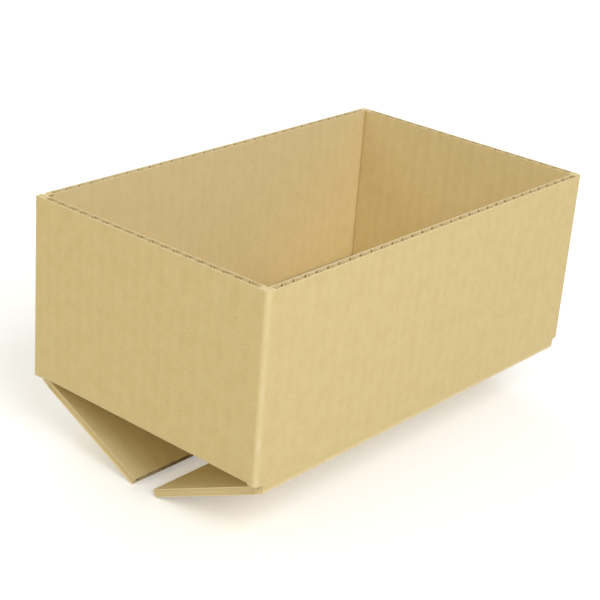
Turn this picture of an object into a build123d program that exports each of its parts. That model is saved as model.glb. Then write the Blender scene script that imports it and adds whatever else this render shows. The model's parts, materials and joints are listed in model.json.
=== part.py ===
# Half slotted container: an open-topped carton folded from one scored and slotted
# sheet of corrugated board, standing on its two partly open outer bottom flaps.
# X runs along the length, +Y to the rear and +Z up, in millimetres. The origin lies
# on the ground, under the middle of the box.
#
# The sheet is made of three solids, because two of its flaps swing:
#   box_body          four walls, the glued tab and the two folded inner flaps
#   front_outer_flap  swings on the front wall's bottom crease
#   rear_outer_flap   swings on the rear wall's bottom crease

import os
from math import cos, radians, sin, sqrt, tan

from build123d import *

# Inside size of the shut box, which is 250 x 150 x 100 outside
inside_length = 242.0
inside_width = 142.0
inside_depth = 91.6

# The board and its folds
board = 4.0                  # thickness, both liners included
fold_radius = 3.0            # outside of a fold that stays folded
score_relief = 0.6           # radius of the crushed line inside such a fold

# The slots that part one flap from the next
slot_width = 6.0             # centred on the fold line between two walls
slot_rise = 0.6              # a slot's end above the inner flaps' underside

# The glued corner, at the rear of the left end
tab_width = 30.0
tab_end_gap = 3.0            # below the rim and above the inner flap
tab_taper = 10.0             # degrees
raw_edge_setback = 0.4       # the end wall's cut edge, from the rear wall's face

# The outer flaps and their creases
crease_radius = 0.5          # half of the crushed board's thickness
crease_clearance = 0.3       # between the crease and the wall that it hangs from
seam_gap = 2.0               # between the outer flaps when they are shut
shut_clearance = 0.4         # between shut outer flaps and the inner flaps
rest_opening = 25.0          # degrees from shut, as the box stands
full_opening = 225.0         # degrees from shut, folded back outside the wall

# Outside of the walls, and the fold lines that the slots are centred on
outside_length = inside_length + 2 * board
outside_width = inside_width + 2 * board
outer_flap_length = inside_length + board - slot_width
inner_flap_width = inside_width + board - slot_width

# Heights, from the ground up. The crease is as high as the open flaps hold it.
flap_reach = outside_width / 2 - crease_radius - seam_gap / 2
crease_height = flap_reach * sin(radians(rest_opening)) + crease_radius * cos(radians(rest_opening))
inner_flap_bottom = crease_height - crease_radius + board + shut_clearance
inner_flap_top = inner_flap_bottom + board
fold_top = inner_flap_top + board
slot_end = inner_flap_bottom + slot_rise
rim = inner_flap_top + inside_depth

# Every flap is cut to the same depth, measured from the walls' outer faces
flap_depth = flap_reach + crease_radius


def walls_in_plan():
    """The wall ring seen from above: three folded corners and, at the rear left, the glued one."""
    outline = Rectangle(outside_length, outside_width)
    front = outline.vertices().sort_by(Axis.Y)[:2]
    rear_right = outline.vertices().group_by(Axis.Y)[-1].sort_by(Axis.X)[-1]
    outline = fillet([*front, rear_right], fold_radius)
    ring = outline - Rectangle(inside_length, inside_width)

    # The rear wall folds forward inside the end wall, which is cut off square
    fold = Pos(-inside_length / 2, outside_width / 2)
    notch = fold * Rectangle(fold_radius, fold_radius, align=(Align.MIN, Align.MAX))
    notch -= fold * Pos(fold_radius, -fold_radius) * Circle(fold_radius)
    raw_edge = Pos(-outside_length / 2, outside_width / 2) * Rectangle(
        board, raw_edge_setback, align=(Align.MIN, Align.MAX)
    )
    return ring - notch - raw_edge


def walls():
    """The walls, down to the slots' ends at the corners and to the folds over the inner flaps."""
    upright = extrude(Plane.XY.offset(slot_end) * walls_in_plan(), rim - slot_end)
    over_folds = Box(
        outside_length, inner_flap_width, fold_top - slot_end, align=(Align.CENTER, Align.CENTER, Align.MIN)
    )
    return upright - Pos(Z=slot_end) * over_folds


def glued_tab():
    """The tab on the rear wall, folded forward and glued to the inside of the left end wall."""
    taper_drop = tab_width * tan(radians(tab_taper))
    top = rim - tab_end_gap
    bottom = inner_flap_top + tab_end_gap
    fold_line = inside_width / 2
    free_edge = fold_line - tab_width
    outline = Polygon(
        (fold_line, bottom),
        (fold_line, top),
        (free_edge, top - taper_drop),
        (free_edge, bottom + taper_drop),
        align=None,
    )
    return extrude(Plane.YZ.offset(-inside_length / 2) * outline, board)


def folded_inner_flap():
    """The left end wall's foot and its inner flap, folded flat under the box."""
    wall_face = -outside_length / 2
    wall_inside = -inside_length / 2
    free_edge = wall_face + flap_depth
    outline = Polygon(
        (wall_face, inner_flap_bottom),
        (free_edge, inner_flap_bottom),
        (free_edge, inner_flap_top),
        (wall_inside, inner_flap_top),
        (wall_inside, fold_top),
        (wall_face, fold_top),
        align=None,
    )
    outer_corner = outline.vertices().group_by(Axis.Y)[0].sort_by(Axis.X)[0]
    outline = fillet(outer_corner, fold_radius)
    return extrude(Plane.XZ * outline, inner_flap_width / 2, both=True)


def crease_lines():
    """Where the wall's foot stops short of the crease, from the crease's own axis:
    the end of its outer face, its tip, and the end of its inner face."""
    swing = radians(full_opening)
    across, up = -sin(swing), -cos(swing)
    reach = crease_radius + crease_clearance
    bevel_shift = crease_clearance / sqrt(2)
    outer_end = (-crease_radius, (reach + across * crease_radius) / up)
    tip_across = (reach - up * bevel_shift) / (across + up)
    tip = (tip_across, tip_across + bevel_shift)
    inner_face = board - crease_radius
    inner_end = (inner_face, inner_face + bevel_shift)
    return outer_end, tip, inner_end


def wall_foot():
    """The front wall's last stretch, bevelled both ways so that its flap can shut and fold back."""
    axis = Pos(crease_radius - outside_width / 2, crease_height)
    foot_top = slot_end - crease_height
    outer_end, tip, inner_end = crease_lines()
    outline = Polygon(
        outer_end,
        tip,
        inner_end,
        (inner_end[0], foot_top),
        (outer_end[0], foot_top),
        align=None,
    )
    return extrude(Plane.YZ * axis * outline, outer_flap_length / 2, both=True)


def score_lines():
    """The crushed lines inside the folds: at each corner of the walls and over each inner flap."""
    upright = Cylinder(score_relief, rim - slot_end, align=(Align.CENTER, Align.CENTER, Align.MIN))
    corners = [
        (inside_length / 2, inside_width / 2),
        (inside_length / 2, -inside_width / 2),
        (-inside_length / 2, -inside_width / 2),
        (-inside_length / 2 + board, inside_width / 2),
    ]
    lying = Rot(X=90) * Cylinder(score_relief, inner_flap_width)
    lines = [Pos(x, y, slot_end) * upright for x, y in corners]
    lines += [Pos(side * inside_length / 2, 0, inner_flap_top) * lying for side in (-1, 1)]
    return lines


def box_body():
    """Walls, tab and inner flaps: the part of the sheet that stays folded."""
    foot = wall_foot()
    inner_flap = folded_inner_flap()
    body = walls() + glued_tab() + foot + mirror(foot, Plane.XZ)
    body = body + inner_flap + mirror(inner_flap, Plane.YZ)
    return body - score_lines()


def outer_flap():
    """The front outer flap at rest, with the crushed crease along its root."""
    bevel_shift = crease_clearance / sqrt(2)
    inner_face = board - crease_radius
    outline = Circle(crease_radius) + Polygon(
        (0, -crease_radius),
        (flap_reach, -crease_radius),
        (flap_reach, inner_face),
        (inner_face + bevel_shift, inner_face),
        (bevel_shift, 0),
        (0, 0),
        align=None,
    )
    axis = Pos(crease_radius - outside_width / 2, crease_height)
    hanging = axis * Rot(Z=-rest_opening) * outline
    return extrude(Plane.YZ * hanging, outer_flap_length / 2, both=True)


def write_parts():
    front = outer_flap()
    parts = {
        "box_body": box_body(),
        "front_outer_flap": front,
        "rear_outer_flap": mirror(front, Plane.XZ),
    }
    os.makedirs("parts", exist_ok=True)
    for name, part in parts.items():
        part.label = name
        export_step(part, f"parts/{name}.step")
        size = part.bounding_box().size
        print(f"{name}: {size.X:.1f} x {size.Y:.1f} x {size.Z:.1f} mm, {part.volume / 1000:.1f} cm3")
    print(f"crease axis {crease_height:.3f} mm up and {outside_width / 2 - crease_radius:.3f} mm from the middle")
    print(f"inner flaps from {inner_flap_bottom:.3f} to {inner_flap_top:.3f} mm, rim at {rim:.3f} mm")


write_parts()
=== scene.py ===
# %% [markdown]
# # A half slotted container in Blender
# A half slotted container is a shipping carton without top flaps. One sheet of corrugated
# board is slotted, scored and folded into it. Here it stands with its two outer bottom
# flaps partly open.
#
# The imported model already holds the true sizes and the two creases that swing. This lesson
# dresses it: the plain solids are replaced by board with its flutes showing at every cut
# edge, and the paper gets its fibres, its clouds and its scuffed folds.

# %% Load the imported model
import json
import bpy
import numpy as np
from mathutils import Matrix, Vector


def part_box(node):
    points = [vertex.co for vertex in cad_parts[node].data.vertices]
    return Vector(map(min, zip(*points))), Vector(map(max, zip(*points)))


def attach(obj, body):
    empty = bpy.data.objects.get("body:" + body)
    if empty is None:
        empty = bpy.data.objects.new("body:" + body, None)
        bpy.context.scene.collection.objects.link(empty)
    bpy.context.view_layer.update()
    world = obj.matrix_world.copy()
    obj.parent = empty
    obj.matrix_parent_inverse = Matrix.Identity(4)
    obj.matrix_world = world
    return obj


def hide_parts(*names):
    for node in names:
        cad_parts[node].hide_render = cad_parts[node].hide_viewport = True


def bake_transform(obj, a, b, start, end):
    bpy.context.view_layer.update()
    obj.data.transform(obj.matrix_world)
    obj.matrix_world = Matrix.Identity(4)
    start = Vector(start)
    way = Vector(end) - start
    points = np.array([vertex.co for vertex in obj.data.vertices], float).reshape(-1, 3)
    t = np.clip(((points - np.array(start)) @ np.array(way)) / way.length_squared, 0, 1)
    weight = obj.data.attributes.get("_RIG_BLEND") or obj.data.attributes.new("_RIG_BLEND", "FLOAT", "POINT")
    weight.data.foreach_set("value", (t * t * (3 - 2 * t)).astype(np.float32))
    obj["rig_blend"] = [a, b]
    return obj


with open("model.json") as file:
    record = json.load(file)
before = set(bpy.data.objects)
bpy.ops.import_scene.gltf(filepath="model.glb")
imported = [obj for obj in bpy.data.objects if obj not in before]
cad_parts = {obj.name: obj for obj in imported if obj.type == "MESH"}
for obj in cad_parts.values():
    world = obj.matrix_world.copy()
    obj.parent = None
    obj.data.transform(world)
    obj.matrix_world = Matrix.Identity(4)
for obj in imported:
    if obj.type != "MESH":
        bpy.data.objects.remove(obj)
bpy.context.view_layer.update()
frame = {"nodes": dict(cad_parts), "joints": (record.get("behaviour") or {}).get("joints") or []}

# %% [markdown]
# ## The sizes of the carton
# The carton is known by a few sizes: the board's thickness, the folds, the slots and the
# clearances of the flaps. Everything else could be typed in as well, but a typed place goes
# wrong as soon as the model changes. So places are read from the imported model: the outside
# of the walls from a node's box, and the crease lines and the flaps' opening from the
# joints.

# %% Sizes of the board, its folds and its slots
from collections import namedtuple
from math import cos, pi, radians, sin, tan

import bmesh
import bpy
from mathutils import Matrix, Vector

MM = 0.001
board = 4.0 * MM
fold_radius = 3.0 * MM
slot_width = 6.0 * MM
slot_rise = 0.6 * MM
crease_radius = 0.5 * MM
shut_clearance = 0.4 * MM
seam_gap = 2.0 * MM
print("board", board / MM, "mm thick, slots", slot_width / MM, "mm wide")

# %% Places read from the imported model
wall_corner_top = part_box("box_body")[1]
half_length, half_width, rim = wall_corner_top
inner_x, inner_y = half_length - board, half_width - board
turn_x, turn_y = half_length - fold_radius, half_width - fold_radius

front_joint = next(j for j in frame["joints"] if j["child"] == "front_flap")
crease_y, crease_z = abs(front_joint["pos_m"][1]), front_joint["pos_m"][2]
rest_opening = radians(max(front_joint["range_deg"]))

flap_reach = half_width - crease_radius - seam_gap / 2
flap_half = inner_x + board / 2 - slot_width / 2
inner_flap_half = inner_y + board / 2 - slot_width / 2
inner_flap_bottom = crease_z - crease_radius + board + shut_clearance
inner_flap_top = inner_flap_bottom + board
inner_flap_edge = half_length - flap_reach - crease_radius
fold_start = inner_flap_bottom + fold_radius
slot_end = inner_flap_bottom + slot_rise
print("rim", rim, "crease", crease_z, "outer flaps half", flap_half, "inner flaps half", inner_flap_half)

# %% [markdown]
# ## Where the camera stands
# The picture was drawn from the left front corner, a little above the rim. A camera could
# be placed by eye, but here the seven corners that the picture shows were used to work out
# its direction, distance and focal length, so the box falls close to where it was drawn.
# The picture leans a few degrees, and so does the camera.

# %% Camera
image_side = 600
focal_pixels = 1544
sensor_width = 36.0
near_clip, far_clip = 0.01, 50.0
camera_azimuth = radians(-50.8)
camera_elevation = radians(23.3)
camera_roll = radians(4.6)
camera_distance = 0.815
camera_target = Vector((0.0024, 0.0121, 0.0625))


def new_object(name, data):
    """An object that shows this data, linked into the scene."""
    made = bpy.data.objects.new(name, data)
    bpy.context.scene.collection.objects.link(made)
    return made


def make_camera():
    """A camera that looks at its target from the given side, turned about its own view by the roll."""
    data = bpy.data.cameras.new("camera")
    data.sensor_width = sensor_width
    data.lens = focal_pixels / image_side * sensor_width
    data.clip_start, data.clip_end = near_clip, far_clip
    level = cos(camera_elevation)
    back = Vector((sin(camera_azimuth) * level, -cos(camera_azimuth) * level, sin(camera_elevation)))
    right = (-back).cross(Vector((0, 0, 1))).normalized()
    up = right.cross(-back)
    leaning_right = right * cos(camera_roll) + up * sin(camera_roll)
    leaning_up = up * cos(camera_roll) - right * sin(camera_roll)
    camera = new_object("camera", data)
    camera.location = camera_target + back * camera_distance
    camera.rotation_euler = Matrix((leaning_right, leaning_up, back)).transposed().to_euler()
    return camera


camera = make_camera()
bpy.context.scene.camera = camera
print("camera at", tuple(round(c, 3) for c in camera.location))

# %% [markdown]
# ## A mesh that knows the flat sheet
# Every face of the carton lay flat once. Fibres and glue lines follow that flat sheet, not
# the room, so each corner of the mesh keeps its place on it: how far round the box, how far
# up the sheet, and how deep in the board. That place is stored as an attribute called
# `sheet`, and the materials read it. A UV map could hold it too, but has no third number for
# the depth. Two more attributes help with wear and colour: `fold` says how near a corner is
# to a fold or a worn edge, and `glue` how near it is to a line where the wavy paper is glued
# on behind.
#
# The helper welds corners that land on the same spot, so that the finished piece is closed.

# %% A helper that collects corners and faces
weld_steps = 1e7
half_glued = 0.5


class Board:
    """One piece of board under construction."""

    def __init__(self, name):
        self.name = name
        self.mesh = bmesh.new()
        self.sheet = self.mesh.verts.layers.float_vector.new("sheet")
        self.fold = self.mesh.verts.layers.float.new("fold")
        self.glue = self.mesh.verts.layers.float.new("glue")
        self.welded = {}

    def corner(self, place, flat, fold=0.0, glue=half_glued):
        key = tuple(round(c * weld_steps) for c in place)
        if key not in self.welded:
            vertex = self.mesh.verts.new(place)
            vertex[self.sheet] = flat
            vertex[self.fold] = fold
            vertex[self.glue] = glue
            self.welded[key] = vertex
        return self.welded[key]

    def face(self, *corners):
        loop = [c for i, c in enumerate(corners) if c is not corners[i - 1]]
        if len(loop) >= 3 and len(set(loop)) == len(loop):
            self.mesh.faces.new(loop)

    def finish(self):
        bmesh.ops.recalc_face_normals(self.mesh, faces=self.mesh.faces)
        loose = sum(not e.is_manifold for e in self.mesh.edges)
        data = bpy.data.meshes.new(self.name)
        self.mesh.to_mesh(data)
        self.mesh.free()
        print(f"{self.name}: {len(data.polygons)} faces, {loose} open edges")
        return new_object(self.name, data)


print("corners weld on a grid of", 1 / weld_steps, "m")

# %% [markdown]
# ## Stations and the wave of the medium
# Corrugated board is two flat papers, the liners, glued to a wavy one, the medium. The
# pitch of its waves goes with the thickness of the board. A piece of board is built from
# stations, one after another across the flutes. A station knows its place on the flat sheet
# and, where it is fluted, how deep in the board the medium's wave is there. Where the board
# is crushed, at folds and at the die's cuts, the station has no wave.
#
# The wave could be a plain sine, but that touches a liner in one point only. It is cut off
# where it meets the liner, which leaves the flat glue line that real flutes have. Between
# two glue lines the liner sags a little, as paper does while its glue dries.

# %% Papers and waves
liner = 0.38 * MM
medium = 0.30 * MM
flute_pitch = 7.8 * MM
flute_steps = 12
flute_sag = 0.09 * MM
skin = liner / board
wave_limit = board / 2 - liner - medium / 2
glue_line_phase = radians(30)
wave_swing = wave_limit / cos(glue_line_phase)
Station = namedtuple("Station", "mesh outer inner flat wave glue fold")


def fluted_stations(length):
    """(distance along, wave depth, phase) over a stretch that holds a whole number of flutes."""
    count = round(length / flute_pitch) * flute_steps
    stations = []
    for i in range(count + 1):
        phase = 2 * pi * i / flute_steps
        swing = max(-wave_limit, min(wave_limit, wave_swing * cos(phase)))
        stations.append((length * i / count, board / 2 + swing, phase))
    return stations


def sag_of(phase, along, length):
    """How far each liner sinks between glue lines, outer and inner, fading at the ends."""
    if phase is None:
        return 0.0, 0.0
    fade = max(0.0, min(1.0, along / flute_pitch, (length - along) / flute_pitch))
    return flute_sag * fade * (1 + cos(phase)) / 2, flute_sag * fade * (1 - cos(phase)) / 2


def glue_of(phase):
    """How near a glue line is, for the outer and the inner liner: 1 on the line, 0 between two."""
    if phase is None:
        return half_glued, half_glued
    return (1 - cos(phase)) / 2, (1 + cos(phase)) / 2


print(round(2 * flap_half / flute_pitch), "flutes across an outer flap")

# %% [markdown]
# ## Cut edges
# Where a knife crosses the flutes, as at the rim and at a flap's free edge, you look into a
# row of little tunnels. They could be painted on, but a painted tunnel has no shadow and
# the outline of the mesh would not show it. Cutting each tunnel with a boolean is slow and
# leaves messy triangles. So the edge is built with its tunnels: strips for both liners and
# for the medium, and between them pockets a few millimetres deep.
#
# Where the die cuts along the flutes, as at a slot or at a flap's side, the edge is crushed.
# A flat strip there would look like solid wood. So the two liners keep a lip each, as thick
# as the paper, and the medium between them is a ragged hollow just under a millimetre deep.

# %% Corners of an edge
cut_depth = 5.0 * MM


def through(station, share):
    """A corner of an edge: share is 0 on the outside of the board and 1 on the inside."""
    place = station.outer.lerp(station.inner, share)
    glue = {0: station.glue[0], 1: station.glue[1]}.get(share, half_glued)
    return station.mesh.corner(place, (*station.flat, share * board), station.fold, glue)


def sunk(station, share, inward):
    """The same corner at the floor of a flute's pocket."""
    place = station.outer.lerp(station.inner, share) + inward * cut_depth
    return station.mesh.corner(place, (*station.flat, share * board))


def medium_shares(station):
    """Where the medium's two faces lie, as shares of the thickness. None where it is crushed."""
    if station.wave is None:
        return None, None
    near = max(skin, (station.wave - medium / 2) / board)
    far = min(1 - skin, (station.wave + medium / 2) / board)
    return near, far


print("the pockets are", cut_depth / MM, "mm deep")

# %% Edges across the flutes
touching = 1e-6


def pocket(mesh, left, right, inward):
    """One flute's pocket. Left and right are each a station and the shares of the pocket's walls."""
    (a, a_out, a_in), (b, b_out, b_in) = left, right
    a_shut = abs(a_in - a_out) < touching
    b_shut = abs(b_in - b_out) < touching
    if a_shut and b_shut:
        return
    top = [through(a, a_out), through(b, b_out), through(b, b_in), through(a, a_in)]
    floor = [sunk(a, a_out, inward), sunk(b, b_out, inward), sunk(b, b_in, inward), sunk(a, a_in, inward)]
    if a_shut:
        floor[0] = floor[3]
    if b_shut:
        floor[1] = floor[2]
    mesh.face(top[0], top[1], floor[1], floor[0])
    mesh.face(top[3], top[2], floor[2], floor[3])
    mesh.face(*floor)


def pocket_end(mesh, station, near, far, inward):
    """Closes a pocket that meets crushed board."""
    if abs(far - near) > touching:
        mesh.face(
            through(station, near),
            through(station, far),
            sunk(station, far, inward),
            sunk(station, near, inward),
        )


def crushed_stretch(mesh, a, b, inward):
    """The edge between two stations where the board is crushed at one of them, or at both."""
    sides = []
    for station in (a, b):
        wave = [share for share in medium_shares(station) if share is not None]
        sides.append([through(station, share) for share in (skin, *wave, 1 - skin)])
    mesh.face(*sides[0], *reversed(sides[1]))
    for station in (a, b):
        near, far = medium_shares(station)
        if near is not None:
            pocket_end(mesh, station, skin, near, inward)
            pocket_end(mesh, station, far, 1 - skin, inward)


def fluted_edge(mesh, stations, inward):
    """Both liners, the medium and the pockets between them, along one cut edge."""
    deep = 1 - skin
    for a, b in zip(stations, stations[1:]):
        mesh.face(through(a, 0), through(b, 0), through(b, skin), through(a, skin))
        mesh.face(through(a, deep), through(b, deep), through(b, 1), through(a, 1))
        if a.wave is None or b.wave is None:
            crushed_stretch(mesh, a, b, inward)
            continue
        a_near, a_far = medium_shares(a)
        b_near, b_far = medium_shares(b)
        mesh.face(through(a, a_near), through(b, b_near), through(b, b_far), through(a, a_far))
        pocket(mesh, (a, skin, a_near), (b, skin, b_near), inward)
        pocket(mesh, (a, a_far, deep), (b, b_far, deep), inward)


print("a pocket is shut where its walls are under", touching * board, "m apart")

# %% Edges along the flutes
crush = 0.9 * MM
cut_wear = 1.0
side_depth, side_raggedness = 0.5, 0.2
floor_wander, floor_raggedness = 0.14, 0.3
ragged_waves = (900, 700)
crossing_waves = (1500, 1200)
crossing_shift = 1.0


def hollow(station, at_end):
    """Across a crushed edge: (share of the thickness, depth, wear), from lip to lip. At the
    ends it is flush, and its corners fall together there."""
    if at_end:
        return [(skin, 0.0, cut_wear)] * 3 + [(1 - skin, 0.0, cut_wear)] * 2
    s, v = station.flat
    ragged = sin(ragged_waves[0] * s + ragged_waves[1] * v)
    crossing = sin(crossing_waves[0] * s + crossing_waves[1] * v + crossing_shift)
    return [
        (skin, 0.0, cut_wear),
        (skin, crush * (side_depth + side_raggedness * ragged), 0.0),
        (0.5 + floor_wander * crossing, crush * (1.0 + floor_raggedness * ragged), 0.0),
        (1 - skin, crush * (side_depth - side_raggedness * ragged), 0.0),
        (1 - skin, 0.0, cut_wear),
    ]


def crushed_edge(mesh, stations, inward):
    """A die's cut: the liners' lips stand proud of the medium squeezed between them."""
    rows = []
    for i, station in enumerate(stations):
        corners = [through(station, 0)]
        for share, depth, wear in hollow(station, i in (0, len(stations) - 1)):
            place = station.outer.lerp(station.inner, share) + inward * depth
            corners.append(mesh.corner(place, (*station.flat, share * board), wear))
        corners.append(through(station, 1))
        rows.append(corners)
    for a, b in zip(rows, rows[1:]):
        for i in range(len(a) - 1):
            mesh.face(a[i], a[i + 1], b[i + 1], b[i])


print("the hollow is about", crush / MM, "mm deep")

# %% [markdown]
# ## Faces and rows
# The two faces of a stretch of board are a grid: stations across, rows down. Few rows are
# enough for a flat panel. But the hollow of a crushed edge is flush at its ends, so one more
# row close to each end keeps it from running out over a long slope. The flutes begin a
# little inside a crushed side, since the cut has squeezed them shut there.

# %% Both faces of a stretch of board
edge_margin = 1.5 * MM
end_row = 0.8 * MM


def row_places(start, end, count):
    """Places of rows from start to end, with one more row just inside either end."""
    step = end_row if end > start else -end_row
    evenly = [start + (end - start) * i / count for i in range(count + 1)]
    return [evenly[0], start + step, *evenly[1:-1], end - step, evenly[-1]]


def skins(mesh, grid):
    """The two liners' outer surfaces over a grid of stations, rows down and columns across."""
    for row, below in zip(grid, grid[1:]):
        for i in range(len(row) - 1):
            for side in (0, 1):
                mesh.face(
                    through(row[i], side),
                    through(row[i + 1], side),
                    through(below[i + 1], side),
                    through(below[i], side),
                )


print("rows stand", end_row / MM, "mm inside each end")

# %% [markdown]
# ## The walls, seen from above
# The four walls are one run of board. It starts at the cut edge at the rear of the left
# end, goes round through three folds, and ends in a fourth that leads into the glued tab.
# Each wall could be a piece of its own, but the corners would then need hiding. So the run
# is one list of upright lines, each with its outer and inner place in plan.
#
# At a fold the outer liner bends round a small radius. The inner liner is pinched: the
# crease tool has crushed the board there and left a groove.

# %% Upright lines over a panel and round a fold
score_relief = 0.6 * MM
groove_spread = 1.5
fold_steps = 8
bend_length = fold_radius * pi / 2
Line = namedtuple("Line", "side s outer inner wave glue fold")


def add_line(points, side, s, outer, inner, wave=None, phase=None, fold=0.0):
    """One more upright line of the run, s along the sheet."""
    points.append(Line(side, s, outer, inner, wave, glue_of(phase), fold))


def straight(points, side, start, end, lead, tail, s):
    """Lines over one panel, fluted from lead after its start to tail before its end."""
    direction = (end - start).normalized()
    inward = Vector((-direction.y, direction.x))
    length = (end - start).length - lead - tail
    for along, wave, phase in fluted_stations(length):
        place = start + direction * (lead + along)
        sag_out, sag_in = sag_of(phase, along, length)
        outer, inner = place + inward * sag_out, place + inward * (board - sag_in)
        add_line(points, side, s + lead + along, outer, inner, wave, phase)


def corner_fold(points, side, s, centre, start_angle, inner_corner, relief=score_relief):
    """A quarter turn of the outer liner about centre, with the inner liner pinched at its corner."""
    end_angle, half_angle = start_angle + pi / 2, start_angle + pi / 4
    before = Vector((-sin(start_angle), cos(start_angle)))
    after = Vector((-sin(end_angle), cos(end_angle)))
    middle = Vector((cos(half_angle), sin(half_angle)))
    for i in range(fold_steps + 1):
        share = i / fold_steps
        angle = start_angle + share * pi / 2
        outer = centre + Vector((cos(angle), sin(angle))) * fold_radius
        sideways = after * max(0.0, 2 * share - 1) - before * max(0.0, 1 - 2 * share)
        depth = relief * sin(pi * share)
        inner = inner_corner + sideways * relief * groove_spread + middle * depth
        add_line(points, side, s + share * bend_length, outer, inner, fold=sin(pi * share))


print("a fold takes", round(bend_length / MM, 2), "mm of sheet")

# %% The run of the four walls
raw_edge_setback = 0.4 * MM
side_lead = 2.2 * MM
tab_tail = 1.2 * MM
glue_gap = 0.04 * MM
tab_face = -inner_x + glue_gap
tab_fold = tab_face + fold_radius
tab_corner = Vector((-inner_x + board, inner_y))


def end_line(points, side, s, y):
    """A line of crushed board on an end wall, at the raw edge or beside a slot."""
    sign = -1.0 if side == "left" else 1.0
    add_line(points, side, s, Vector((sign * half_length, y)), Vector((sign * inner_x, y)))


def wall_run():
    """All upright lines of the walls, from the cut edge round to the fold of the tab."""
    points = []
    end_lead = turn_y - inner_flap_half + edge_margin
    left, right = -half_length, half_length
    for y in (half_width - raw_edge_setback, turn_y, inner_flap_half):
        end_line(points, "left", half_width - y, y)
    s = half_width - turn_y
    straight(points, "left", Vector((left, turn_y)), Vector((left, -turn_y)), end_lead, end_lead, s)
    end_line(points, "left", s + turn_y + inner_flap_half, -inner_flap_half)
    s += 2 * turn_y
    corner_fold(points, "left", s, Vector((-turn_x, -turn_y)), pi, Vector((-inner_x, -inner_y)))
    s += bend_length
    start, end = Vector((-turn_x, -half_width)), Vector((turn_x, -half_width))
    straight(points, "front", start, end, side_lead, side_lead, s)
    s += 2 * turn_x
    corner_fold(points, "right", s, Vector((turn_x, -turn_y)), 1.5 * pi, Vector((inner_x, -inner_y)))
    s += bend_length
    end_line(points, "right", s + turn_y - inner_flap_half, -inner_flap_half)
    straight(points, "right", Vector((right, -turn_y)), Vector((right, turn_y)), end_lead, end_lead, s)
    end_line(points, "right", s + turn_y + inner_flap_half, inner_flap_half)
    s += 2 * turn_y
    corner_fold(points, "right", s, Vector((turn_x, turn_y)), 0.0, Vector((inner_x, inner_y)))
    s += bend_length
    start, end = Vector((turn_x, half_width)), Vector((tab_fold, half_width))
    straight(points, "rear", start, end, side_lead, tab_tail, s)
    s += turn_x - tab_fold
    corner_fold(points, "rear", s, Vector((tab_fold, turn_y)), pi / 2, tab_corner, relief=0.0)
    s += bend_length + turn_y - inner_y
    add_line(points, "rear", s, Vector((tab_face, inner_y)), tab_corner)
    return points


run = wall_run()
print(len(run), "upright lines round the walls,", round(run[-1].s, 3), "m of sheet")

# %% [markdown]
# ## The walls, tab and folded inner flaps
# Each upright line becomes a column of stations, from the rim down to the slots' ends. The
# long walls of an open box lean in by half a millimetre at the middle of the rim, because
# nothing holds them there. A lattice could bend them, but a formula for the lean keeps the
# corners exactly where they are. On the end walls, between the slots, the sheet turns the
# fold and goes on as the inner flap, with its flutes cut across at the free edge.

# %% Stations of the walls
wall_lean = 0.5 * MM
wall_rows = 9
flap_rows = 8
wall_heights = row_places(rim, fold_start, wall_rows)
sag_fade = 6.0 * MM
edge_wear = 0.85


def sign_of(value):
    return 1.0 if value > 0 else -1.0


def lean_at(line, z):
    """How far a long wall leans in at this height."""
    if line.side not in ("front", "rear"):
        return Vector((0, 0, 0))
    along = min(1.0, abs(line.outer.x) / turn_x)
    height = (z - slot_end) / (rim - slot_end)
    amount = wall_lean * (1 - along**2) * height**2
    return Vector((0, amount if line.side == "front" else -amount, 0))


def plain_places(line):
    """The line's places without the sag between flutes: on the panel's own planes."""
    if line.wave is None:
        return line.outer, line.inner
    outer, inner = line.outer.copy(), line.inner.copy()
    axis, outside = (0, half_length) if line.side in ("left", "right") else (1, half_width)
    sign = sign_of(outer[axis])
    outer[axis], inner[axis] = sign * outside, sign * (outside - board)
    return outer, inner


def wall_station(mesh, line, z):
    """The line at one height. The sag of its liners fades out towards the slots' ends."""
    lean = lean_at(line, z)
    smooth = min(1.0, max(0.0, (z - slot_end) / sag_fade))
    flat_outer, flat_inner = plain_places(line)
    outer = Vector((*flat_outer.lerp(line.outer, smooth), z)) + lean
    inner = Vector((*flat_inner.lerp(line.inner, smooth), z)) + lean
    wear = max(line.fold, edge_wear) if z == rim else line.fold
    return Station(mesh, outer, inner, (line.s, z), line.wave, line.glue, wear)


print(len(wall_heights), "rows down the walls")

# %% Stations of a folded inner flap
pinch_clear = 1.5 * MM


def inner_flap_section():
    """From the start of the fold to the flap's free edge: outer place, inner place, wear and
    distance down the sheet. A place is (from the middle, up)."""
    section = []
    for i in range(1, fold_steps + 1):
        share = i / fold_steps
        angle = share * pi / 2
        outer = (turn_x + cos(angle) * fold_radius, fold_start - sin(angle) * fold_radius)
        along_flap = max(0.0, 2 * share - 1) * score_relief * groove_spread
        along_wall = max(0.0, 1 - 2 * share) * score_relief * groove_spread
        pinch = score_relief * sin(pi * share) * cos(pi / 4)
        inner = (inner_x - along_flap + pinch, inner_flap_top - pinch + along_wall)
        section.append((outer, inner, sin(pi * share), share * bend_length))
    # The fold's last row is the flap's first, and needs no row close to it
    for x in row_places(turn_x, inner_flap_edge, flap_rows)[2:]:
        inner = (min(x, inner_x - pinch_clear), inner_flap_top)
        section.append(((x, inner_flap_bottom), inner, 0.0, bend_length + turn_x - x))
    return section


def inner_flap_rows(mesh, lines):
    """Rows of stations from the start of the fold to the inner flap's free edge."""
    sign = sign_of(lines[0].outer.x)
    rows = []
    for (out_x, out_z), (in_x, in_z), wear, down in inner_flap_section():
        row = []
        for line in lines:
            y = line.outer.y
            outer, inner = Vector((sign * out_x, y, out_z)), Vector((sign * in_x, y, in_z))
            flat = (line.s, fold_start - down)
            row.append(Station(mesh, outer, inner, flat, line.wave, line.glue, wear))
        rows.append(row)
    return rows


print(len(inner_flap_section()), "rows from an end wall to the free edge of its flap")

# %% Build the body of the box
hair = 1e-7


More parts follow.
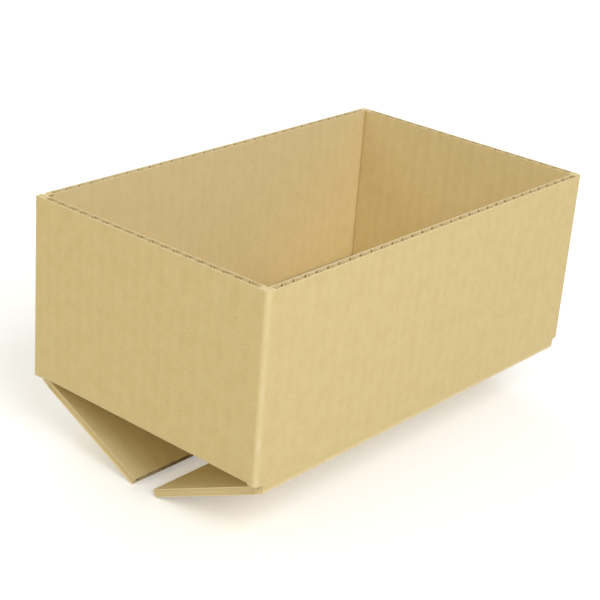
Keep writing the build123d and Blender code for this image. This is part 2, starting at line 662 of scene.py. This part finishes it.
def over_inner_flap(line):
    return line.side in ("left", "right") and abs(line.outer.y) <= inner_flap_half + hair


def runs_of(lines, test):
    """Neighbouring lines that all pass the test, each run as (first index, last index)."""
    found, start = [], None
    for i, line in enumerate(lines):
        if test(line) and start is None:
            start = i
        if start is not None and not test(line):
            found.append((start, i - 1))
            start = None
    if start is not None:
        found.append((start, len(lines) - 1))
    return found


def add_foot(mesh, lines):
    """The board between two slots' ends, from the height of the fold down."""
    foot = [[wall_station(mesh, line, z) for line in lines] for z in (fold_start, slot_end)]
    skins(mesh, foot)
    crushed_edge(mesh, foot[1], Vector((0, 0, 1)))


def add_inner_flap(mesh, lines, wall_row):
    """The fold below an end wall, the flap beyond it, and the slots' sides above the fold."""
    rows = [wall_row] + inner_flap_rows(mesh, lines)
    skins(mesh, rows)
    fluted_edge(mesh, rows[-1], Vector((sign_of(lines[0].outer.x), 0, 0)))
    for column, other in ((0, -1), (-1, 0)):
        towards = sign_of(lines[other].outer.y - lines[column].outer.y)
        crushed_edge(mesh, [row[column] for row in rows], Vector((0, towards, 0)))
        slot_side = [wall_station(mesh, lines[column], z) for z in (fold_start, slot_end)]
        crushed_edge(mesh, slot_side, Vector((0, -towards, 0)))


def add_walls(mesh):
    grid = [[wall_station(mesh, line, z) for line in run] for z in wall_heights]
    skins(mesh, grid)
    fluted_edge(mesh, grid[0], Vector((0, 0, -1)))
    flaps = runs_of(run, over_inner_flap)
    bounds = [0] + [i for pair in flaps for i in pair] + [len(run) - 1]
    for first, last in zip(bounds[0::2], bounds[1::2]):
        add_foot(mesh, run[first : last + 1])
    for first, last in flaps:
        add_inner_flap(mesh, run[first : last + 1], grid[-1][first : last + 1])
    for line, towards in ((run[0], -1), (run[-1], 1)):
        side = [wall_station(mesh, line, z) for z in [*wall_heights, slot_end]]
        crushed_edge(mesh, side, Vector((0, towards, 0)))


body_mesh = Board("box_board")
add_walls(body_mesh)
box_board = body_mesh.finish()

# %% [markdown]
# ## The glued tab
# The tab is the last stretch of the sheet. It folds forward and is glued flat to the inside
# of the left end wall. Its top and bottom are cut at a slant, so that it can't catch on the
# rim or on the inner flap. It could be welded to the walls, but its flutes end elsewhere
# than theirs, so it is a piece of its own that overlaps the fold by a hair.

# %% Build the tab
tab_width = 30.0 * MM
tab_end_gap = 3.0 * MM
tab_taper = radians(10)
tab_overlap = 0.2 * MM
tab_rows = 6


def add_tab(mesh):
    """The tab against the inside of the left end wall, its rows spread between the slanting ends."""
    root, free = inner_y + tab_overlap, inner_y - tab_width
    lines = [(root, None, None)]
    for along, wave, phase in fluted_stations(root - free - 2 * edge_margin):
        lines.append((root - edge_margin - along, wave, phase))
    lines.append((free, None, None))
    tall = rim - inner_flap_top - 2 * tab_end_gap
    grid = []
    for share in (place / tall for place in row_places(0.0, tall, tab_rows)):
        row = []
        for y, wave, phase in lines:
            drop = (inner_y - y) * tan(tab_taper)
            top, bottom = rim - tab_end_gap - drop, inner_flap_top + tab_end_gap + drop
            z = top + (bottom - top) * share
            outer, inner = Vector((tab_face, y, z)), Vector((tab_corner.x, y, z))
            flat = (run[-1].s + root - y, z)
            row.append(Station(mesh, outer, inner, flat, wave, glue_of(phase), 0.0))
        grid.append(row)
    skins(mesh, grid)
    fluted_edge(mesh, grid[0], Vector((0, 0, -1)))
    fluted_edge(mesh, grid[-1], Vector((0, 0, 1)))
    crushed_edge(mesh, [row[0] for row in grid], Vector((0, -1, 0)))
    crushed_edge(mesh, [row[-1] for row in grid], Vector((0, 1, 0)))


tab_mesh = Board("glued_tab")
add_tab(tab_mesh)
tab_board = tab_mesh.finish()

# %% [markdown]
# ## The outer flaps
# Each outer flap is a flat stretch of board that starts just past its crease. It could be
# built flat and then turned, but a turned object no longer sits at the origin, as the
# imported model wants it. So it is built in place, tilted by the angle at which it stands, and
# its free edge touches the ground. The rear flap is the front one mirrored: the same code
# runs with the other sign.

# %% Build an outer flap
flap_start = slot_end - crease_z


def flap_place(sign, along, out):
    """A place in the flap's own section: along it from the crease, and out from the crease axis."""
    y = along * cos(rest_opening) + out * sin(rest_opening)
    z = -along * sin(rest_opening) + out * cos(rest_opening)
    return sign * (crease_y - y), crease_z + z


def flap_row(mesh, sign, along, fluted):
    """The stations across a flap at one distance from its crease. Adding the sign to the place on
    the sheet puts the two flaps on different stretches of paper."""
    at_edge = along == flap_reach
    smooth = min(1.0, (along - flap_start) / sag_fade)
    row = []
    lines = [(at - fluted / 2, at, wave, phase) for at, wave, phase in fluted_stations(fluted)]
    for x, at, wave, phase in [(-flap_half, 0.0, None, None), *lines, (flap_half, 0.0, None, None)]:
        sag_out, sag_in = sag_of(phase, at, fluted)
        outside = -crease_radius + (0.0 if at_edge else sag_out * smooth)
        inside = board - crease_radius - sag_in * smooth
        outer = Vector((x, *flap_place(sign, along, outside)))
        inner = Vector((x, *flap_place(sign, along, inside)))
        wear = edge_wear if at_edge or phase is None else 0.0
        row.append(Station(mesh, outer, inner, (x + sign, crease_z - along), wave, glue_of(phase), wear))
    return row


def outer_flap(name, sign):
    mesh = Board(name)
    fluted = 2 * (flap_half - edge_margin)
    grid = [flap_row(mesh, sign, at, fluted) for at in row_places(flap_start, flap_reach, flap_rows)]
    skins(mesh, grid)
    towards_root = Vector((0, *flap_place(sign, 0, 0))) - Vector((0, *flap_place(sign, 1, 0)))
    fluted_edge(mesh, grid[-1], towards_root)
    crushed_edge(mesh, grid[0], -towards_root)
    crushed_edge(mesh, [row[0] for row in grid], Vector((1, 0, 0)))
    crushed_edge(mesh, [row[-1] for row in grid], Vector((-1, 0, 0)))
    return mesh.finish()


front_flap_board = outer_flap("front_flap_board", -1.0)
rear_flap_board = outer_flap("rear_flap_board", 1.0)

# %% [markdown]
# ## The creases
# A crease is board that a blunt wheel has crushed, so that the flap can swing without the
# liners tearing. The sheet runs through it unbroken, so it can't belong to the wall or to
# the flap alone. Each crease is a strip of its own that bends between the two: near the
# wall it follows the box, near the flap it follows the flap, and in between it turns about
# the crease.
#
# Its section is a bow tie: full thickness where it meets wall and flap, thin in the middle.
# Wall and flap are mirror images there, so half of the section is worked out and the other
# half is its reflection. The outer and the inner face get equally many points, which closes
# the strip's ends with narrow quads. One big face would fold over itself as the flap swings.

# %% The crease's section
crease_reach = slot_end - crease_z
section_shares = (1.0, 0.85, 0.7, 0.58, 0.48, 0.38, 0.28, 0.18, 0.08)
dent_depth = 0.18 * MM
dent_share, dent_spread = 0.38, 0.2
pinch_radius = 2.0 * MM
pinch_fan = radians(6)
turn_steps = 6
half_turn = pi / 4 - rest_opening / 2
halving_line = Vector((cos(half_turn), sin(half_turn)))


def reflected(point):
    """The mirror image of a point of the section in the line that halves the crease."""
    return 2 * point.dot(halving_line) * halving_line - point


def crease_section():
    """Stations from the wall to the flap: outer place, inner place and distance on the flat sheet.
    Places are (across, up) from the crease axis, where across points into the box."""
    pinch = pinch_radius * halving_line
    on_wall = []
    for share in section_shares:
        distance = share * crease_reach
        dent = dent_depth * max(0.0, 1 - abs(share - dent_share) / dent_spread)
        outer = Vector((dent - crease_radius, distance))
        across = pinch.x + (board - crease_radius - pinch.x) * sin(share * pi / 2)
        inner = Vector((across, pinch.y + (crease_reach - pinch.y) * share))
        on_wall.append((outer, inner, distance))
    turn = []
    for i in range(turn_steps + 1):
        angle = pi + 2 * half_turn * i / turn_steps
        lean = half_turn + pinch_fan * (1 - 2 * i / turn_steps)
        outer = crease_radius * Vector((cos(angle), sin(angle)))
        turn.append((outer, pinch_radius * Vector((cos(lean), sin(lean))), 0.0))
    on_flap = [(reflected(o), reflected(i), -d) for o, i, d in reversed(on_wall)]
    return on_wall + turn + on_flap


print(len(crease_section()), "points on either face of a crease")

# %% Build a crease
crease_steps = 80
end_sink = 0.25 * MM
end_slant = 0.12 * MM
ripple_height = 0.05 * MM
ripple_reach = 3.5 * MM
ripple_waves = (2100, 3300)
ripple_shift = 1.0
wear_reach = 2.5 * MM


def crease_corner(mesh, sign, x, point, down, depth):
    """A corner of the crease, rippled a little where the board is crushed most. The strip's
    ends are sunk in the middle and slant, so that no two stretches of one end share a plane."""
    near = max(0.0, 1 - point.length / ripple_reach)
    waves = sin(x * ripple_waves[0]) + sin(x * ripple_waves[1] + ripple_shift)
    ripple = ripple_height * near * waves
    share = down / crease_reach
    sink = end_sink * (1 - share**2) + end_slant * (1 - share) / 2
    x -= sink * x / flap_half
    place = Vector((x, sign * (crease_y - point.x), crease_z + point.y + ripple))
    wear = max(0.0, 1 - abs(down) / wear_reach)
    return mesh.corner(place, (x + sign, crease_z + down, depth), wear)


def crease(name, sign):
    mesh = Board(name)
    section = crease_section()
    rings = []
    for i in range(crease_steps + 1):
        x = -flap_half + 2 * flap_half * i / crease_steps
        outer, inner = [], []
        for out_point, in_point, down in section:
            outer.append(crease_corner(mesh, sign, x, out_point, down, 0.0))
            inner.append(crease_corner(mesh, sign, x, in_point, down, board))
        rings.append((outer, inner))
    for (outer, inner), (next_outer, next_inner) in zip(rings, rings[1:]):
        for j in range(len(outer) - 1):
            mesh.face(outer[j], outer[j + 1], next_outer[j + 1], next_outer[j])
            mesh.face(inner[j + 1], inner[j], next_inner[j], next_inner[j + 1])
        for j in (0, -1):
            mesh.face(outer[j], next_outer[j], next_inner[j], inner[j])
    for outer, inner in (rings[0], rings[-1]):
        for j in range(len(outer) - 1):
            mesh.face(outer[j], outer[j + 1], inner[j + 1], inner[j])
    return mesh.finish()


front_crease = crease("front_crease", -1.0)
rear_crease = crease("rear_crease", 1.0)

# %% [markdown]
# ## Smooth and sharp
# Round folds have to look round, and cut edges sharp. Marking every edge by hand is slow.
# Smoothing by angle does it from the mesh: faces that meet at less than the given angle
# share their shading.

# %% Shade by angle
smooth_angle = radians(30)


def shade(piece):
    mesh = piece.data
    mesh.polygons.foreach_set("use_smooth", [True] * len(mesh.polygons))
    mesh.set_sharp_from_angle(angle=smooth_angle)


dressed = [box_board, tab_board, front_flap_board, rear_flap_board, front_crease, rear_crease]
for piece in dressed:
    shade(piece)
print(len(dressed), "pieces shaded smooth, with sharp edges from 30 degrees")

# %% [markdown]
# ## Paper, as a node group
# Brown liner paper is made of long fibres, laid mostly one way but crossing each other, in
# soft clouds. A scanned picture of paper would repeat, and would blur from close by, so the
# fibres are worked out by the shader. Both the board and its creases need them, so they are
# one node group with its own inputs, placed in each material with different values. It is
# fed with the `sheet` attribute: fibres then turn the corner with the paper, and no two
# panels look alike.

# %% Helpers for nodes
def place_node(tree, kind, at, settings=(), **inputs):
    """A node at a place in its tree. An input's name is written with _ for each space."""
    node = tree.nodes.new(kind)
    node.location = at
    for name, value in dict(settings).items():
        setattr(node, name, value)
    for name, value in inputs.items():
        node.inputs[name.replace("_", " ")].default_value = value
    return node


def empty_nodes(owner):
    """The node tree of a material or a world, with nothing in it yet."""
    owner.use_nodes = True
    owner.node_tree.nodes.clear()
    return owner.node_tree


def math_node(tree, operation, at, first, second=None, third=None, clamp=False):
    """A Math node, fed with numbers or with the outputs of other nodes."""
    node = place_node(tree, "ShaderNodeMath", at, {"operation": operation, "use_clamp": clamp})
    for socket, value in zip(node.inputs, (first, second, third)):
        if value is None:
            continue
        if isinstance(value, (int, float)):
            socket.default_value = value
        else:
            tree.links.new(value, socket)
    return node.outputs[0]


def between(tree, at, value, low, high):
    """A soft step: 0 below low and 1 above high."""
    smooth = {"interpolation_type": "SMOOTHSTEP"}
    node = place_node(tree, "ShaderNodeMapRange", at, smooth, From_Min=low, From_Max=high)
    tree.links.new(value, node.inputs["Value"])
    return node.outputs["Result"]


def new_group(name, inputs, outputs):
    """A shader node group with named sockets. Returns its tree and its input and output nodes."""
    tree = bpy.data.node_groups.new(name, "ShaderNodeTree")
    for label, kind, value in inputs:
        socket = tree.interface.new_socket(label, in_out="INPUT", socket_type=kind)
        if value is not None:
            socket.default_value = value
    for label, kind in outputs:
        tree.interface.new_socket(label, in_out="OUTPUT", socket_type=kind)
    entry = place_node(tree, "NodeGroupInput", (-1200, 0))
    leave = place_node(tree, "NodeGroupOutput", (900, 0))
    return tree, entry, leave


print("helpers: place_node, empty_nodes, math_node, between and new_group")

# %% The paper group
fibre_length = 4.5 * MM
fibre_width = 0.5 * MM
usual_cloud = 12.0 * MM
rising_lean, level_lean, falling_lean = 0.35, -0.05, -0.4
pale_fibre_limits = (0.60, 0.72)
fleck_limits = (0.66, 0.76)


def stretched_noise(tree, at, sheet, cells, lean, shift, detail):
    """Noise whose spots are drawn out along the sheet: cells is how many fit in a metre, each way."""
    turned = place_node(tree, "ShaderNodeMapping", at, Location=shift, Rotation=(0.0, 0.0, lean))
    scaled = place_node(tree, "ShaderNodeVectorMath", (at[0] + 200, at[1]), {"operation": "MULTIPLY"})
    noise = place_node(tree, "ShaderNodeTexNoise", (at[0] + 400, at[1]), Scale=1.0, Detail=detail)
    tree.links.new(sheet, turned.inputs["Vector"])
    tree.links.new(turned.outputs["Vector"], scaled.inputs[0])
    tree.links.new(cells, scaled.inputs[1])
    tree.links.new(scaled.outputs["Vector"], noise.inputs["Vector"])
    return noise.outputs["Fac"]


def paper_group():
    """Clouds, and fibres that cross in three directions, as the felted mat of real paper."""
    number = "NodeSocketFloat"
    inputs = [
        ("Sheet", "NodeSocketVector", None),
        ("Cloud Size", number, usual_cloud),
        ("Fibre Length", number, fibre_length),
        ("Fibre Width", number, fibre_width),
    ]
    outputs = [("Cloud", number), ("Fibre", number), ("Pale Fibre", number), ("Fleck", number)]
    tree, entry, leave = new_group("paper", inputs, outputs)
    link = tree.links.new
    sheet = entry.outputs["Sheet"]
    cloud_scale = math_node(tree, "DIVIDE", (-900, 300), 1.0, entry.outputs["Cloud Size"])
    cloud = place_node(tree, "ShaderNodeTexNoise", (-600, 300), Detail=5.0, Roughness=0.65)
    link(sheet, cloud.inputs["Vector"])
    link(cloud_scale, cloud.inputs["Scale"])
    link(cloud.outputs["Fac"], leave.inputs["Cloud"])

    along = math_node(tree, "DIVIDE", (-900, 0), 1.0, entry.outputs["Fibre Length"])
    across = math_node(tree, "DIVIDE", (-900, -150), 1.0, entry.outputs["Fibre Width"])
    combined = place_node(tree, "ShaderNodeCombineXYZ", (-700, -50))
    for axis, scale in (("X", along), ("Y", across), ("Z", across)):
        link(scale, combined.inputs[axis])
    cells = combined.outputs["Vector"]
    rising = stretched_noise(tree, (-500, 0), sheet, cells, rising_lean, shift=(0.3, 0.1, 0.0), detail=2.0)
    level = stretched_noise(tree, (-500, -200), sheet, cells, level_lean, shift=(0.0, 0.4, 0.0), detail=3.0)
    falling = stretched_noise(
        tree, (-500, -400), sheet, cells, falling_lean, shift=(0.7, 0.2, 0.0), detail=2.0
    )
    crossed = math_node(tree, "ADD", (300, -150), rising, falling)
    felted = math_node(tree, "ADD", (450, -200), crossed, level)
    link(math_node(tree, "DIVIDE", (600, -200), felted, 3.0), leave.inputs["Fibre"])
    link(between(tree, (300, 0), rising, *pale_fibre_limits), leave.inputs["Pale Fibre"])
    link(between(tree, (300, -400), falling, *fleck_limits), leave.inputs["Fleck"])
    return tree


paper = paper_group()
print("group", paper.name, "with", len(paper.nodes), "nodes")

# %% The cut edge group
edge_starts, core_starts = 0.05, 1.02


def cut_edge_group():
    """From the depth in the board, in liners: where paper is seen from its edge, where that edge
    is the medium between the liners, and which face is the one inside the box."""
    number = "NodeSocketFloat"
    inputs = [("Sheet", "NodeSocketVector", None), ("Board", number, board), ("Liner", number, liner)]
    outputs = [("Edge", number), ("Core", number), ("Inside", number)]
    tree, entry, leave = new_group("cut_edge", inputs, outputs)
    link = tree.links.new
    parts = place_node(tree, "ShaderNodeSeparateXYZ", (-900, 100))
    link(entry.outputs["Sheet"], parts.inputs["Vector"])
    from_outside = parts.outputs["Z"]
    from_inside = math_node(tree, "SUBTRACT", (-700, -100), entry.outputs["Board"], from_outside)
    depth = math_node(tree, "MINIMUM", (-500, 0), from_outside, from_inside)
    liners = math_node(tree, "DIVIDE", (-300, 100), depth, entry.outputs["Liner"])
    link(math_node(tree, "GREATER_THAN", (-100, -100), liners, edge_starts), leave.inputs["Edge"])
    link(math_node(tree, "GREATER_THAN", (-100, 100), liners, core_starts), leave.inputs["Core"])
    link(math_node(tree, "GREATER_THAN", (-100, 300), from_outside, from_inside), leave.inputs["Inside"])
    return tree


cut_edge = cut_edge_group()
print("group", cut_edge.name, "with", len(cut_edge.nodes), "nodes")

# %% [markdown]
# ## The board's material
# Kraft liner is a warm, pale brown and quite matt. Its clouds and fibres change the colour
# by a few hundredths only, or the box would look like cork. Over each glue line it is a
# touch darker, which gives real cartons their faint upright stripes. The liner that faces
# the inside is painted paler than the outer one. This is painted light, which lifts the
# shade on the faces inside the box and on the flaps' upper faces. A cut edge is raw: the
# liners' lips are the palest part of the box, and the medium between them is about as dark
# as the face. On folds and along the rim the surface is scuffed, so it is paler there. A
# crease is the same paper, worn harder and without stripes, because the medium behind it is
# crushed flat.
#
# One flat colour with a picture of fibres on top could stand in for all that. Here each of
# these causes is a layer of its own, so that each can be made stronger or weaker. The plain
# solids, which the dressed pieces hide, get the board's material as well.

# %% Colours of the paper
kraft = (0.735, 0.583, 0.290, 1.0)
kraft_dark = (0.645, 0.495, 0.222, 1.0)
# Painted light: the inside liner's colours are paler than the outer ones, to lift the shade inside the box
kraft_inside_painted_light = (0.800, 0.665, 0.375, 1.0)
kraft_inside_dark_painted_light = (0.715, 0.575, 0.300, 1.0)
kraft_pale = (0.850, 0.725, 0.450, 1.0)
kraft_fleck = (0.400, 0.270, 0.120, 1.0)
kraft_core = (0.690, 0.545, 0.280, 1.0)

cloud_limits = (0.30, 0.72)
cloud_strength = 0.42
felt_limits = (0.38, 0.62)
fibre_strength = 0.26
glue_sharpness = 4.0
crest_sharpness = 2.0
pale_fibre_strength = 0.35
fleck_strength = 0.40
lip_strength = 0.90
core_strength = 0.85
steady_wear, patchy_wear = 0.2, 0.8
print("seven colours of paper, the board's own is", kraft[:3])


# %% Nodes for colours and for stored values
def mix_colour(tree, at, factor, first, second):
    """A colour between two others, given as tuples or as the outputs of other nodes."""
    node = place_node(tree, "ShaderNodeMix", at, {"data_type": "RGBA"})
    for socket, value in ((node.inputs[0], factor), (node.inputs[6], first), (node.inputs[7], second)):
        if isinstance(value, (float, int, tuple)):
            socket.default_value = value
        else:
            tree.links.new(value, socket)
    return node.outputs[2]


def stored(tree, at, name):
    """The value that each corner of the mesh keeps under this name."""
    settings = {"attribute_type": "GEOMETRY", "attribute_name": name}
    return place_node(tree, "ShaderNodeAttribute", at, settings)


def paper_nodes(tree, cloud_size):
    """The two groups, fed with the place on the flat sheet."""
    sheet = stored(tree, (-1400, 0), "sheet").outputs["Vector"]
    fibres = place_node(tree, "ShaderNodeGroup", (-1100, 100), {"node_tree": paper})
    fibres.inputs["Cloud Size"].default_value = cloud_size
    edges = place_node(tree, "ShaderNodeGroup", (-1100, -200), {"node_tree": cut_edge})
    tree.links.new(sheet, fibres.inputs["Sheet"])
    tree.links.new(sheet, edges.inputs["Sheet"])
    return fibres.outputs, edges.outputs


print("stored values:", [layer.name for layer in box_board.data.attributes if layer.domain == "POINT"])


# %% The layers of colour
def paper_tone(tree, fibres, clouds, glue_depth):
    """How dark the paper's face is: clouds, felted fibres and glue lines."""
    tone = math_node(tree, "MULTIPLY", (-700, 300), clouds, cloud_strength)
    felted = between(tree, (-900, 150), fibres["Fibre"], *felt_limits)
    tone = math_node(tree, "MULTIPLY_ADD", (-500, 300), felted, fibre_strength, tone)
    glue = stored(tree, (-900, 500), "glue").outputs["Fac"]
    stripe = math_node(tree, "POWER", (-700, 500), glue, glue_sharpness)
    return math_node(tree, "MULTIPLY_ADD", (-300, 300), stripe, glue_depth, tone, clamp=True)


def scuffs(tree, clouds, scuff_depth):
    """Wear on folds and edges, strongest on the crest and uneven along it."""
    fold = stored(tree, (-1100, -400), "fold").outputs["Fac"]
    crest = math_node(tree, "POWER", (-900, -400), fold, crest_sharpness)
    patchy = math_node(tree, "MULTIPLY_ADD", (-500, -400), clouds, patchy_wear, steady_wear)
    worn = math_node(tree, "MULTIPLY", (-300, -400), crest, patchy)
    return math_node(tree, "MULTIPLY", (-100, -400), worn, scuff_depth, clamp=True)


def paper_colour(tree, fibres, edges, glue_depth, scuff_depth):
    """Colour built up in layers: the two liners' faces, the inner one painted paler as painted light,
    specks, cut edges and wear.
    """
    clouds = between(tree, (-900, 300), fibres["Cloud"], *cloud_limits)
    tone = paper_tone(tree, fibres, clouds, glue_depth)
    outside = mix_colour(tree, (-100, 200), tone, kraft, kraft_dark)
    # Painted light: the face inside the box is given a paler colour, which lifts its shade
    inside = mix_colour(tree, (-100, 400), tone, kraft_inside_painted_light, kraft_inside_dark_painted_light)
    colour = mix_colour(tree, (0, 300), edges["Inside"], outside, inside)
    pale = math_node(tree, "MULTIPLY", (-300, 50), fibres["Pale Fibre"], pale_fibre_strength)
    colour = mix_colour(tree, (50, 200), pale, colour, kraft_pale)
    flecks = math_node(tree, "MULTIPLY", (-300, -50), fibres["Fleck"], fleck_strength)
    colour = mix_colour(tree, (200, 200), flecks, colour, kraft_fleck)
    lip = math_node(tree, "MULTIPLY", (200, -50), edges["Edge"], lip_strength)
    colour = mix_colour(tree, (350, 200), lip, colour, kraft_pale)
    core = math_node(tree, "MULTIPLY", (350, -50), edges["Core"], core_strength)
    colour = mix_colour(tree, (500, 200), core, colour, kraft_core)
    return mix_colour(tree, (650, 200), scuffs(tree, clouds, scuff_depth), colour, kraft_pale)


print("scuffs bring back the lips' colour,", kraft_pale[:3])

# %% Build the board's material and the crease's
smoothest, fibre_roughness = 0.65, 0.25
cloud_height = 0.6
bump_strength = 0.6
paper_gloss = 0.25


def board_material(name, cloud_size, glue_depth, scuff_depth, bump_height):
    material = bpy.data.materials.new(name)
    tree = empty_nodes(material)
    link = tree.links.new
    fibres, edges = paper_nodes(tree, cloud_size)
    colour = paper_colour(tree, fibres, edges, glue_depth, scuff_depth)
    rough = math_node(tree, "MULTIPLY_ADD", (600, -250), fibres["Fibre"], fibre_roughness, smoothest)
    height = math_node(tree, "MULTIPLY_ADD", (400, -500), fibres["Cloud"], cloud_height, fibres["Fibre"])
    bump = place_node(tree, "ShaderNodeBump", (700, -500), Strength=bump_strength, Distance=bump_height)
    shader = place_node(tree, "ShaderNodeBsdfPrincipled", (900, 100), Specular_IOR_Level=paper_gloss)
    output = place_node(tree, "ShaderNodeOutputMaterial", (1200, 100))
    link(height, bump.inputs["Height"])
    link(colour, shader.inputs["Base Color"])
    link(rough, shader.inputs["Roughness"])
    link(bump.outputs["Normal"], shader.inputs["Normal"])
    link(shader.outputs["BSDF"], output.inputs["Surface"])
    return material


board_finish = board_material(
    "kraft_board", cloud_size=9.0 * MM, glue_depth=0.10, scuff_depth=0.65, bump_height=0.22 * MM
)
crease_finish = board_material(
    "kraft_crease", cloud_size=5.0 * MM, glue_depth=0.0, scuff_depth=1.3, bump_height=0.30 * MM
)
for piece in dressed:
    is_crease = piece in (front_crease, rear_crease)
    piece.data.materials.append(crease_finish if is_crease else board_finish)
for node in frame["nodes"].values():
    node.data.materials.clear()
    node.data.materials.append(board_finish)
print("materials:", board_finish.name, "and", crease_finish.name)

# %% [markdown]
# ## Which piece moves with what
# The walls and the tab stay with the box, each flap board swings with its flap, and each
# crease bends between the two. A crease could be cut in half at its axis, but its halves
# would part or cross as the flap swings. So each is one piece that blends from one body to
# the other. The bend happens in a narrow band, square to the line that halves the crease,
# so that wall and flap stay straight on either side of it.

# %% Ride and bend
bend_half = 1.25 * MM


def bend_line(sign):
    """Start and end of the bend, on the wall's side and on the flap's side of the crease."""
    axis = Vector((0, sign * crease_y, crease_z))
    step = Vector((0, -sign * sin(half_turn), -cos(half_turn))) * bend_half
    return axis - step, axis + step


for piece in (box_board, tab_board):
    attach(piece, "box")
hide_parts("box_body")
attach(front_flap_board, "front_flap")
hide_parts("front_outer_flap")
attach(rear_flap_board, "rear_flap")
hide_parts("rear_outer_flap")
for piece, flap, sign in ((front_crease, "front_flap", -1.0), (rear_crease, "rear_flap", 1.0)):
    start, end = bend_line(sign)
    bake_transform(piece, "box", flap, start=tuple(start), end=tuple(end))
print("each crease bends over", 2 * bend_half / MM, "mm")

# %% [markdown]
# ## A plain white studio
# The picture has the box on plain white. A sheet of white under the box would lose its
# shadow, and a brighter floor would bleach the box. So the floor keeps its shadow near the
# box and has a glow that only the camera sees, which grows with the distance: it lifts the
# floor to white, and hides the line where floor and world meet in a low view.
#
# The front of the box is the lighter side in the picture, and the left end the darker and
# warmer one. The main lamp therefore stands high in front, and a weaker, warm one at the
# left. A third, behind, keeps the back from going dull and lights the inside of the walls.
# All three are wide, so that the shadows stay soft.

# %% Floor
floor_half = 6.0
near_glow, far_glow = 0.30, 0.62
glow_grows_from, glow_grows_to = 0.2, 1.2
white = (1.0, 1.0, 1.0, 1.0)
floor_white = (0.9, 0.9, 0.9, 1.0)


def floor_material():
    """White whose glow, for the camera alone, grows from the box outward."""
    material = bpy.data.materials.new("white_floor")
    tree = empty_nodes(material)
    place = place_node(tree, "ShaderNodeTexCoord", (-1000, -300)).outputs["Object"]
    distance = place_node(tree, "ShaderNodeVectorMath", (-800, -300), {"operation": "LENGTH"})
    tree.links.new(place, distance.inputs[0])
    away = between(tree, (-600, -300), distance.outputs["Value"], glow_grows_from, glow_grows_to)
    glow_level = math_node(tree, "MULTIPLY_ADD", (-400, -300), away, far_glow - near_glow, near_glow)
    path = place_node(tree, "ShaderNodeLightPath", (-400, -100))
    seen = math_node(tree, "MULTIPLY", (-200, -100), path.outputs["Is Camera Ray"], glow_level)
    diffuse = place_node(tree, "ShaderNodeBsdfDiffuse", (0, 100), Color=floor_white)
    glow = place_node(tree, "ShaderNodeEmission", (0, -100), Color=white)
    both = place_node(tree, "ShaderNodeAddShader", (200, 0))
    output = place_node(tree, "ShaderNodeOutputMaterial", (400, 0))
    tree.links.new(seen, glow.inputs["Strength"])
    tree.links.new(diffuse.outputs["BSDF"], both.inputs[0])
    tree.links.new(glow.outputs["Emission"], both.inputs[1])
    tree.links.new(both.outputs["Shader"], output.inputs["Surface"])
    return material


def studio_floor():
    mesh = bmesh.new()
    bmesh.ops.create_grid(mesh, x_segments=1, y_segments=1, size=floor_half)
    data = bpy.data.meshes.new("floor")
    mesh.to_mesh(data)
    mesh.free()
    data.materials.append(floor_material())
    return new_object("floor", data)


floor = studio_floor()
print("floor", 2 * floor_half, "m wide, its glow grows from", near_glow, "to", far_glow)

# %% Lamps and world
world_strength = 0.42
box_middle = Vector((0.0, 0.0, 0.08))


def lamp(name, place, size, power, colour=(1.0, 1.0, 1.0)):
    """A square lamp that shines at the middle of the box."""
    data = bpy.data.lights.new(name, "AREA")
    data.shape = "SQUARE"
    data.size = size
    data.energy = power
    data.color = colour
    light = new_object(name, data)
    light.location = place
    light.rotation_euler = (box_middle - Vector(place)).to_track_quat("-Z", "Y").to_euler()
    print(f"{name}: {power} W, {size} m wide")


def studio_world():
    """White for the camera and in reflections, and a soft light of its own strength for the rest."""
    world = bpy.data.worlds.new("white_studio")
    tree = empty_nodes(world)
    path = place_node(tree, "ShaderNodeLightPath", (-600, 0))
    seen = math_node(tree, "ADD", (-400, 0), path.outputs["Is Camera Ray"], path.outputs["Is Glossy Ray"])
    seen = math_node(tree, "ADD", (-200, 0), seen, path.outputs["Is Transmission Ray"], clamp=True)
    level = math_node(tree, "MULTIPLY_ADD", (0, 0), seen, 1.0 - world_strength, world_strength)
    background = place_node(tree, "ShaderNodeBackground", (200, 0), Color=white)
    output = place_node(tree, "ShaderNodeOutputWorld", (400, 0))
    tree.links.new(level, background.inputs["Strength"])
    tree.links.new(background.outputs["Background"], output.inputs["Surface"])
    return world


bpy.context.scene.world = studio_world()
lamp("front_lamp", (-0.5, -1.4, 1.45), size=1.2, power=23.5)
lamp("left_lamp", (-1.4, 0.5, 0.85), size=1.0, power=4.1, colour=(1.0, 0.9, 0.45))
lamp("rear_lamp", (0.8, 1.4, 1.2), size=1.4, power=9.0)
bpy.context.scene.view_settings.view_transform = "Standard"
